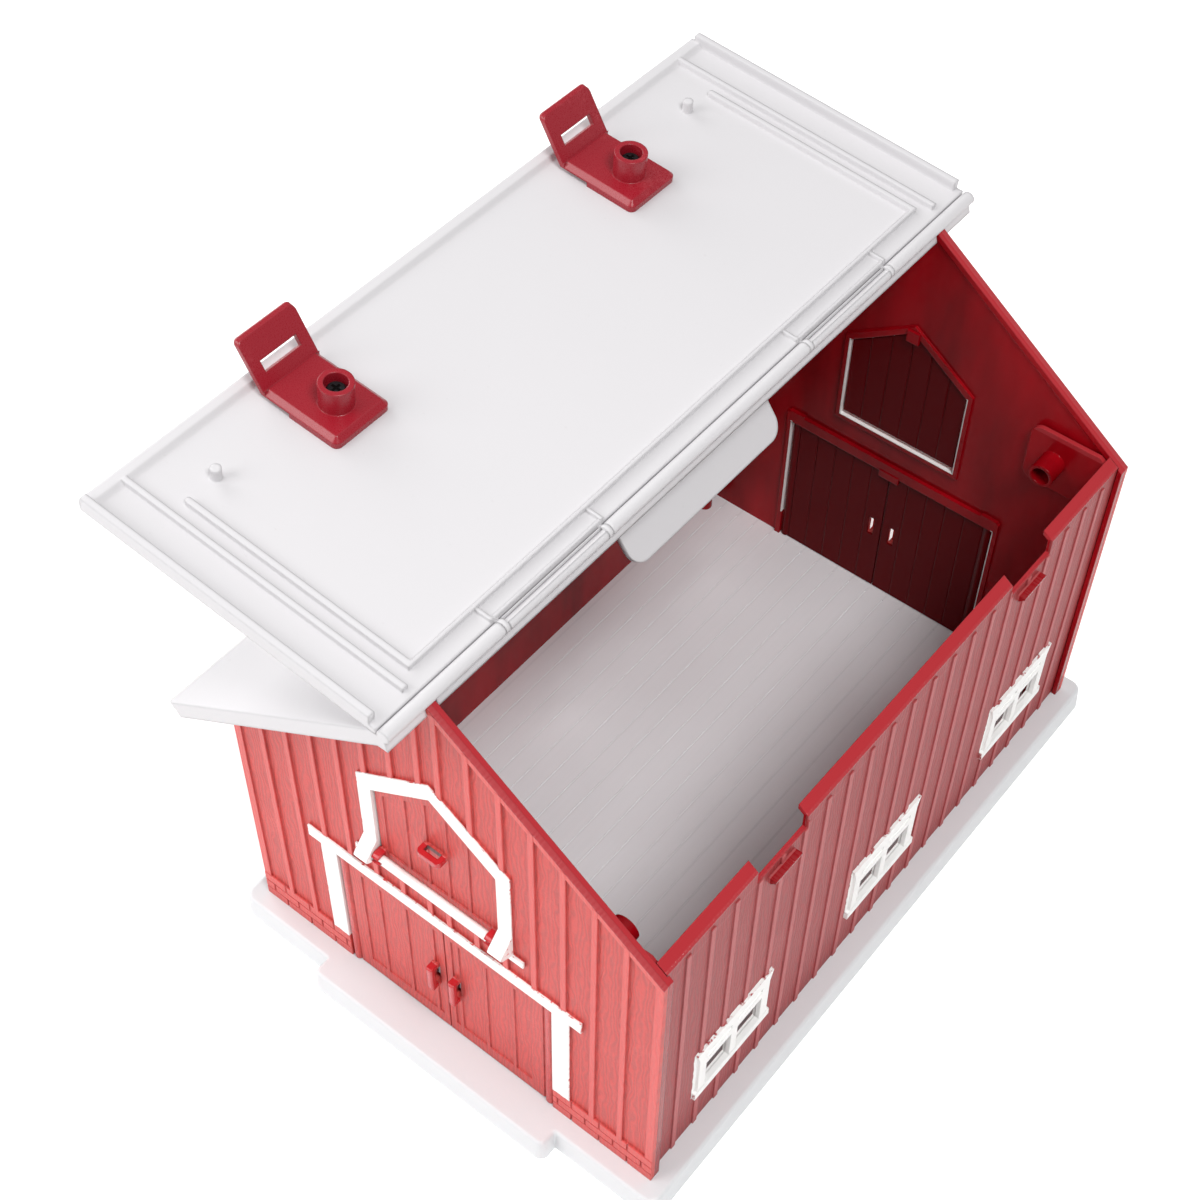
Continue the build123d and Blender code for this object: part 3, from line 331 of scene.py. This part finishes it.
def inside_peak(across, up, outline):
    """Above zero inside a pointed opening: nearer the middle than its half width, and below the line
    that falls from its peak to its eaves."""
    half, eaves, peak = outline
    slope = across * ((eaves - peak) / half) + peak
    return least(half - across, slope - up)


def toned(colour, share, lift=0.0):
    """The colour times the share, plus a lift towards white."""
    return tuple(min(1.0, v * share + lift) for v in colour)


def lighter(colour):
    """The same plastic made lighter: the tone of rubbed scuffs, and the painted highlight on each batten."""
    return toned(colour, 1.2, 0.05)


def wear(shade, base, light, amount):
    """Small scuffs towards a lighter tone, where a broad and a fine noise are both high."""
    broad = shade.noise(shade.place, 0.035, 4.0)
    fine = shade.noise(shade.place, 0.9, 5.0, 0.65)
    return shade.mix(step(broad * fine - 0.36, 0.12) * amount, base, light)


def plank_grain(shade, across, along, depth):
    """Height of sawn wood from 0 to 1: a sine across the plank, bent by a slow noise as round knots,
    plus fine streaks, pores and soft mottling from noise drawn out along the plank."""

    def drawn_out(wide, long, detail, rough):
        return shade.noise(shade.point(across * wide, along * long, depth), 1.0, detail, rough)

    bend = drawn_out(0.20, 0.055, 2.0, 0.5)
    streaks = drawn_out(2.2, 0.16, 4.0, 0.6)
    pores = drawn_out(1.5, 0.75, 3.0, 0.7)
    mottling = drawn_out(0.7, 0.25, 3.0, 0.6)
    stripes = shade.maths("SINE", across * 3.3 + bend * 24.0) * 0.5 + 0.5
    return stripes * 0.22 + streaks * 0.22 + (pores * 0.30 + mottling * 0.26)


def plank_tone(shade, grain, colour):
    """The plank's own red, deeper in the low lines of its grain and scuffed lighter here and there."""
    lift = (grain * 2.8 - 0.92).clamped()
    return wear(shade, shade.mix(lift, toned(colour, 0.74), toned(colour, 1.10)), lighter(colour), 0.35)


def plank_lines(across, pitch, width):
    """1 on the seams between planks, 0 between them."""
    off = across.shade.maths("PINGPONG", across, pitch / 2.0)
    return 1.0 - step(off - width, width)


def inner_red_shade_and_sheen(shade, colour):
    """Deep red inside, darker than outside partly as painted shade, with slow upright streaks as a painted
    sheen.
    """
    place = shade.point(shade.x * 0.05, shade.y * 0.05, shade.z * 0.012)
    streak = (shade.noise(place, 1.0, 3.0, 0.55) * 3.0 - 1.0).clamped()
    return shade.mix(streak, toned(colour, 0.74), toned(colour, 1.25))


def paint_wander(shade, reach):
    """Two noises, across and up, by which the edge of the brushed paint wanders, in mm."""
    places = (shade.place, shade.shifted((31.0, 7.0, 13.0)))
    return [(shade.noise(place, 0.35) - 0.5) * (reach * 4.4) for place in places]


def painted_planks(shade, colours, relief, red, rough, grain, white, outer):
    """Ends a wall's material: brushed white paint over the red where white is 1, and as relief the
    grain or the brush marks, both faint where outer is 0, which is inside the barn."""
    brushed = shade.noise(shade.place, 1.6)
    paint = shade.mix(brushed * 0.10, colours.paint, toned(colours.paint, 0.8))
    height = shade.mix_value(white, grain, brushed * 0.6 + 0.5) * (outer * 0.95 + 0.05)
    return shade.finish(
        shade.mix(white, red, paint), shade.mix_value(white, rough, 0.42),
        shade.bump(height, relief.grain / MM, shade.rounded(0.6)), shade.mix_value(outer, 0.16, 0.5))


def end_wall_paint(shade, out, wander):
    """1 on the white of an end wall: the raised trim, with an uneven edge, and the reveals of its
    openings, with a straight one."""
    wide = abs(shade.x)
    up = shade.z - BASE_TOP
    x = wide + wander[0]
    z = up + wander[1]
    loft_frame = least(inside_peak(x, z, FRAME_OUTSIDE), -inside_peak(x, z, FRAME_INSIDE), z - FRAME_FOOT)
    hinge_bar = least(inside_box(x, z, HINGE_BAR), out - HINGE_BAR_OUT)
    trim = most(inside_box(x, z, POST), inside_box(x, z, BEAM), inside_box(x, z, SILL), loft_frame, hinge_bar)
    proud = out - wander[0] * 0.25 - END_PAINT_OUT
    reveals = most(*(inside_box(wide, up, box) for box in (DOOR_JAMB, LOFT_JAMB, LOFT_LEDGE)))
    return step(most(least(trim, proud), least(reveals, out + END_REVEAL)), 0.18)


def end_wall_material(colours, relief):
    """Red end wall: grained planks with a painted highlight on each batten, deep red inside with painted
    shade and painted sheen, gable rims toned as painted light, white paint on the raised trim.
    """
    shade = Shade("end_wall_red")
    out = abs(shade.y) - FACE_Y
    white = end_wall_paint(shade, out, paint_wander(shade, relief.paint_edge / MM))
    outer = step(out + END_SKIN, 0.6)
    grain = plank_grain(shade, shade.x, shade.z, 0.0)
    # Each batten is made a lighter red where it stands proud: painted highlight.
    batten_highlight = step(out - END_BATTEN_OUT, 0.3)
    face = shade.mix(batten_highlight * 0.55, plank_tone(shade, grain, colours.wall), lighter(colours.wall))
    red = shade.mix(outer, inner_red_shade_and_sheen(shade, colours.inside), face)
    # The gable rims are toned as painted light: how they look where the light falls on them.
    slope = abs(shade.x) * -math.tan(PITCH) + GABLE_PEAK
    rim_painted_light = step(0.5 - (slope - shade.z), 0.3)
    red = shade.mix(rim_painted_light, red, colours.rim_painted_light)
    rough = shade.mix_value(outer, 0.20, grain * 0.14 + 0.40)
    return painted_planks(shade, colours, relief, red, rough, grain, white, outer)


def long_wall_material(colours, relief):
    """Red long wall: the same planks with a painted highlight on each batten, glossier rims toned as painted
    light, catch bars with a painted dark reflection, white paint on the window frames.
    """
    shade = Shade("long_wall_red")
    out = abs(shade.x) - SIDE_X
    wander = paint_wander(shade, relief.paint_edge / MM)
    y = abs(shade.y) + wander[0]
    z = shade.z - BASE_TOP + wander[1]
    window = inside_box(least(y, abs(y - WINDOW_STEP)), z, WINDOW)
    proud = out - wander[0] * 0.2 - SIDE_PAINT_OUT
    white = step(most(least(window, proud), least(window, out + SIDE_REVEAL)), 0.18)
    outer = step(out + SIDE_SKIN, 0.5)
    grain = plank_grain(shade, shade.y, shade.z, 3.0)
    # Each batten is made a lighter red where it stands proud: painted highlight.
    batten_highlight = step(out - SIDE_BATTEN_OUT, 0.2)
    face = shade.mix(batten_highlight * 0.9, plank_tone(shade, grain, colours.side), lighter(colours.side))
    red = shade.mix(outer, inner_red_shade_and_sheen(shade, colours.inside), face)
    # The band and its latch notches are glossier and toned as painted light.
    notch = least(0.4 - abs(shade.z - NOTCH_Z), -0.1 - out, out + 2.1)
    rim_painted_light = step(most(shade.z - RIM_Z, notch), 0.3)
    # The catch bars get the deep inner red as a painted dark reflection on their glossy tops.
    catch = step(least(out - CATCH_OUT, shade.z - (BASE_TOP + CATCH_UP)), 0.3)
    gloss = most(rim_painted_light, catch)
    red = shade.mix(gloss, red, shade.mix(catch, colours.rim_painted_light, colours.inside))
    rough = shade.mix_value(gloss, shade.mix_value(outer, 0.22, grain * 0.14 + 0.42), 0.18)
    return painted_planks(shade, colours, relief, red, rough, grain, white, outer)


def leaf_material(colours, relief, name, pull_out):
    """Red leaf: grained face, a dark glossy back whose darkness is painted shade, with its dark seams, and a
    polished pull beyond pull_out in mm from the wall's face. The slot in the pull of a loft leaf is darkened
    as painted shade."""
    shade = Shade(name)
    out = abs(shade.y) - FACE_Y
    outer = step(out + LEAF_SKIN, 0.6)
    pull = step(out - pull_out, 0.4)
    grain = plank_grain(shade, shade.x, shade.z, 7.0)
    # The back is a much darker red than the inner wall: painted shade.
    red = shade.mix(outer, toned(colours.inside, 0.40), plank_tone(shade, grain, colours.wall))
    seams = plank_lines(shade.x, LEAF_PLANK, 0.3) * (1.0 - outer)
    red = shade.mix(seams * 0.45, red, toned(colours.inside, 0.35))
    half, slot_from, slot_to = RING_SLOT
    slot = least(half - abs(shade.x), out - slot_from, slot_to - out,
                 shade.z - (RING_FOOT - 0.1), (RING_TOP - 0.1) - shade.z)
    # The slot in a loft pull is painted dark red: painted shade in the recess.
    base = shade.mix(step(slot, 0.1), shade.mix(pull, red, colours.trim), toned(colours.trim, 0.25))
    rough = shade.mix_value(pull, shade.mix_value(outer, 0.20, grain * 0.14 + 0.38), 0.16)
    height = grain * (outer - pull).clamped() - seams * 0.8
    normal = shade.bump(height, relief.grain / MM, shade.rounded(0.6))
    return shade.finish(base, rough, normal, shade.mix_value(outer, 0.07, 0.5))


def latch_material(colours):
    """Satin crimson with soft edges, mottled finely and scuffed lighter here and there."""
    shade = Shade("latch_crimson")
    fine = shade.noise(shade.place, 2.2, 4.0)
    tone = shade.mix(fine * 0.25, colours.latch, toned(colours.latch, 0.7))
    base = wear(shade, tone, toned(colours.latch, 1.3, 0.06), 0.4)
    return shade.finish(base, fine * 0.12 + 0.22, shade.bump(fine, 0.03, shade.rounded(0.8)))


def roof_material(colours):
    """White roof with soft edges, a faint mould texture and a few grey specks."""
    shade = Shade("roof_white")
    fine = shade.noise(shade.place, 1.1, 5.0)
    broad = shade.noise(shade.place, 0.02, 3.0, 0.5)
    tone = shade.mix(broad * 0.06, colours.roof, toned(colours.roof, 0.82))
    specks = step(shade.noise(shade.place, 0.5, 1.0, 0.3) - 0.80, 0.04)
    base = shade.mix(specks * 0.12, tone, (0.45, 0.42, 0.42))
    return shade.finish(base, fine * 0.10 + 0.40, shade.bump(fine, 0.02, shade.rounded(1.6)))


def tray_material(colours):
    """White tray whose planked floor inside the walls has a lighter tone, which is painted light, with wood
    streaks and grooves darkened as painted shade.
    """
    shade = Shade("tray_white")
    fine = shade.noise(shade.place, 1.4, 5.0)
    inner = least(FLOOR_HALF_W - abs(shade.x), FLOOR_HALF_L - abs(shade.y), shade.z - (BASE_TOP - 1.5))
    floor = step(inner, 0.4)
    streak = shade.noise(shade.point(shade.x * 1.1, shade.y * 0.03, shade.z), 1.0, 4.0)
    board = shade.mix(streak * 0.18, colours.floor, toned(colours.floor, 0.75))
    grooves = plank_lines(shade.x, FLOOR_PLANK, 0.5) * floor
    # Lighter floor inside the walls: painted light.
    base = shade.mix(floor, colours.tray, board)
    # The grooves are darkened: painted shade in them.
    base = shade.mix(grooves * 0.15, base, toned(colours.floor, 0.5))
    height = shade.mix_value(floor, fine, streak)
    return shade.finish(base, fine * 0.12 + 0.38, shade.bump(height, 0.05))


def screw_material(colours, name, heads=None):
    """Blackened steel. Heads that face up are given as x and plus or minus y, and get a cross recess: a bump,
    and near black as its painted shade.
    """
    shade = Shade(name)
    fine = shade.noise(shade.place, 3.0, 4.0)
    base = shade.mix(fine, colours.screw, (0.05, 0.05, 0.055))
    height = fine * 0.1
    if heads:
        x = abs(shade.x - heads[0])
        y = abs(abs(shade.y) - heads[1])
        arms = most(least(CROSS_HALF - x, CROSS_REACH - y), least(CROSS_REACH - x, CROSS_HALF - y))
        cross = step(arms, 0.25)
        # The cross is painted near black: painted shade in the recess.
        base = shade.mix(cross, base, (0.002, 0.002, 0.002))
        height = height - cross
    return shade.finish(base, fine * 0.2 + 0.30, shade.bump(height, 0.5), metallic=0.8)


def paper_material(glow):
    """White studio paper with a faint broad mottling and its own weak light."""
    shade = Shade("studio_paper")
    dust = shade.noise(shade.place, 0.004, 3.0, 0.5)
    shade.wire(shade.surface.inputs["Emission Color"], (1.0, 1.0, 1.0))
    shade.wire(shade.surface.inputs["Emission Strength"], glow)
    return shade.finish(shade.mix(dust, (0.93, 0.93, 0.93), (0.96, 0.96, 0.96)), 0.9, specular=0.1)


def dress(material, *names):
    """Puts the material on each named node of the frame."""
    for name in names:
        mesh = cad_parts[name].data
        if not mesh.materials:
            mesh.materials.append(material)
        for i in range(len(mesh.materials)):
            mesh.materials[i] = material


class BARN_OT_walls(bpy.types.Operator):
    """Finish the two end walls and the two long walls"""
    bl_idname = "barn.walls"
    bl_label = "Finish Walls"

    def execute(self, context):
        colours, relief = context.scene.barn_colours, context.scene.barn_relief
        dress(end_wall_material(colours, relief), "front_wall", "rear_wall")
        dress(long_wall_material(colours, relief), "left_wall", "right_wall")
        return {"FINISHED"}


class BARN_OT_doors(bpy.types.Operator):
    """Finish the four doors and the two loft doors"""
    bl_idname = "barn.doors"
    bl_label = "Finish Doors"

    def execute(self, context):
        colours, relief = context.scene.barn_colours, context.scene.barn_relief
        dress(leaf_material(colours, relief, "door_red", DOOR_PULL_OUT),
              "front_door_left", "front_door_right", "rear_door_left", "rear_door_right")
        dress(leaf_material(colours, relief, "loft_door_red", LOFT_PULL_OUT),
              "front_loft_door", "rear_loft_door")
        return {"FINISHED"}


class BARN_OT_roof(bpy.types.Operator):
    """Finish both roof halves"""
    bl_idname = "barn.roof"
    bl_label = "Finish Roof"

    def execute(self, context):
        dress(roof_material(context.scene.barn_colours), "roof_left", "roof_right")
        return {"FINISHED"}


class BARN_OT_latches(bpy.types.Operator):
    """Finish the latches, the clips of the fixed half and every screw"""
    bl_idname = "barn.latches"
    bl_label = "Finish Latches and Screws"

    def execute(self, context):
        colours = context.scene.barn_colours
        dress(latch_material(colours), "latch_front", "latch_rear", "roof_clip_front", "roof_clip_rear")
        dress(screw_material(colours, "screw_black"), "roof_clip_screws", "corner_screws", "base_screws")
        dress(screw_material(colours, "latch_screw_black", LATCH_SCREWS), "latch_screws")
        return {"FINISHED"}


class BARN_OT_tray(bpy.types.Operator):
    """Finish the base tray and its planked floor"""
    bl_idname = "barn.tray"
    bl_label = "Finish Tray"

    def execute(self, context):
        dress(tray_material(context.scene.barn_colours), "base")
        return {"FINISHED"}


def sweep_backdrop(width, depth, rise, radius, steps):
    """Floor that curves up behind: straight run, quarter circle of the radius, straight rise,
    each carried across the width."""
    turn = np.linspace(0.0, math.pi / 2, steps)
    run = np.concatenate([[-depth], depth - radius + radius * np.sin(turn), [depth]])
    lift = np.concatenate([[0.0], radius - radius * np.cos(turn), [rise]])
    side = np.array([-width, width])
    count = len(run)
    points = np.zeros((2, count, 3))
    points[..., 0] = side[:, None]
    points[..., 1] = run
    points[..., 2] = lift
    a = np.arange(count - 1)
    faces = np.stack([a, a + count, a + count + 1, a + 1], axis=1)
    return points.reshape(-1, 3), faces


def lamp(name, place, aim, size, power):
    """Square area lamp whose back points away from its aim, with its sides level."""
    data = bpy.data.lights.new(name, "AREA")
    data.size = size
    data.energy = power
    lamp_object = bpy.data.objects.new(name, data)
    bpy.context.scene.collection.objects.link(lamp_object)
    back = np.array(place) - np.array(aim)
    back = back / np.linalg.norm(back)
    side = np.cross((0.0, 0.0, 1.0), back)
    side = side / np.linalg.norm(side)
    turned = Matrix(np.column_stack([side, np.cross(back, side), back]))
    lamp_object.matrix_world = Matrix.Translation(place) @ turned.to_4x4()


class BARN_OT_stage(bpy.types.Operator):
    """Set out the pale floor, the soft lamps and the camera"""
    bl_idname = "barn.stage"
    bl_label = "Set Stage"

    def execute(self, context):
        scene = context.scene
        studio = scene.barn_studio
        points, faces = sweep_backdrop(width=6.0, depth=6.0, rise=3.0, radius=2.0, steps=24)
        mesh = bpy.data.meshes.new("studio_floor")
        mesh.from_pydata(points.tolist(), [], faces.tolist())
        mesh.update()
        mesh.materials.append(paper_material(studio.paper))
        floor = bpy.data.objects.new("studio_floor", mesh)
        scene.collection.objects.link(floor)
        for name, place, aim, size, share in LAMPS:
            lamp(name, place, aim, size, studio.key * share)
        world = bpy.data.worlds.new("studio_air")
        world.use_nodes = True
        air = world.node_tree.nodes["Background"]
        air.inputs["Color"].default_value = (1.0, 1.0, 1.0, 1.0)
        air.inputs["Strength"].default_value = studio.air
        scene.world = world
        scene.view_settings.view_transform = "Standard"
        data = bpy.data.cameras.new("barn_camera")
        data.lens = studio.lens
        data.sensor_width = 36.0
        data.clip_start = 0.01
        camera = bpy.data.objects.new("barn_camera", data)
        camera.location = CAMERA_PLACE
        camera.rotation_euler = [math.radians(angle) for angle in CAMERA_TURN]
        scene.collection.objects.link(camera)
        scene.camera = camera
        return {"FINISHED"}


STEPS = (BARN_OT_walls, BARN_OT_doors, BARN_OT_roof, BARN_OT_latches, BARN_OT_tray, BARN_OT_stage)


class BARN_PT_panel(bpy.types.Panel):
    """Lists the barn's finishing steps"""
    bl_idname = "BARN_PT_panel"
    bl_label = "Toy Barn"
    bl_space_type = "VIEW_3D"
    bl_region_type = "UI"
    bl_category = "Toy Barn"

    def draw(self, context):
        for operator in STEPS:
            self.layout.operator(operator.bl_idname)


CLASSES = (BarnColours, BarnRelief, BarnStudio) + STEPS + (BARN_PT_panel,)


def register():
    """Registers the classes and hangs the settings on the scene."""
    for cls in CLASSES:
        bpy.utils.register_class(cls)
    bpy.types.Scene.barn_colours = bpy.props.PointerProperty(type=BarnColours)
    bpy.types.Scene.barn_relief = bpy.props.PointerProperty(type=BarnRelief)
    bpy.types.Scene.barn_studio = bpy.props.PointerProperty(type=BarnStudio)


def unregister():
    """Takes the settings and the classes away again."""
    del bpy.types.Scene.barn_studio
    del bpy.types.Scene.barn_relief
    del bpy.types.Scene.barn_colours
    for cls in reversed(CLASSES):
        bpy.utils.unregister_class(cls)


def main():
    register()
    bpy.ops.barn.walls()
    bpy.ops.barn.doors()
    bpy.ops.barn.roof()
    bpy.ops.barn.latches()
    bpy.ops.barn.tray()
    bpy.ops.barn.stage()


if __name__ == "__main__":
    main()
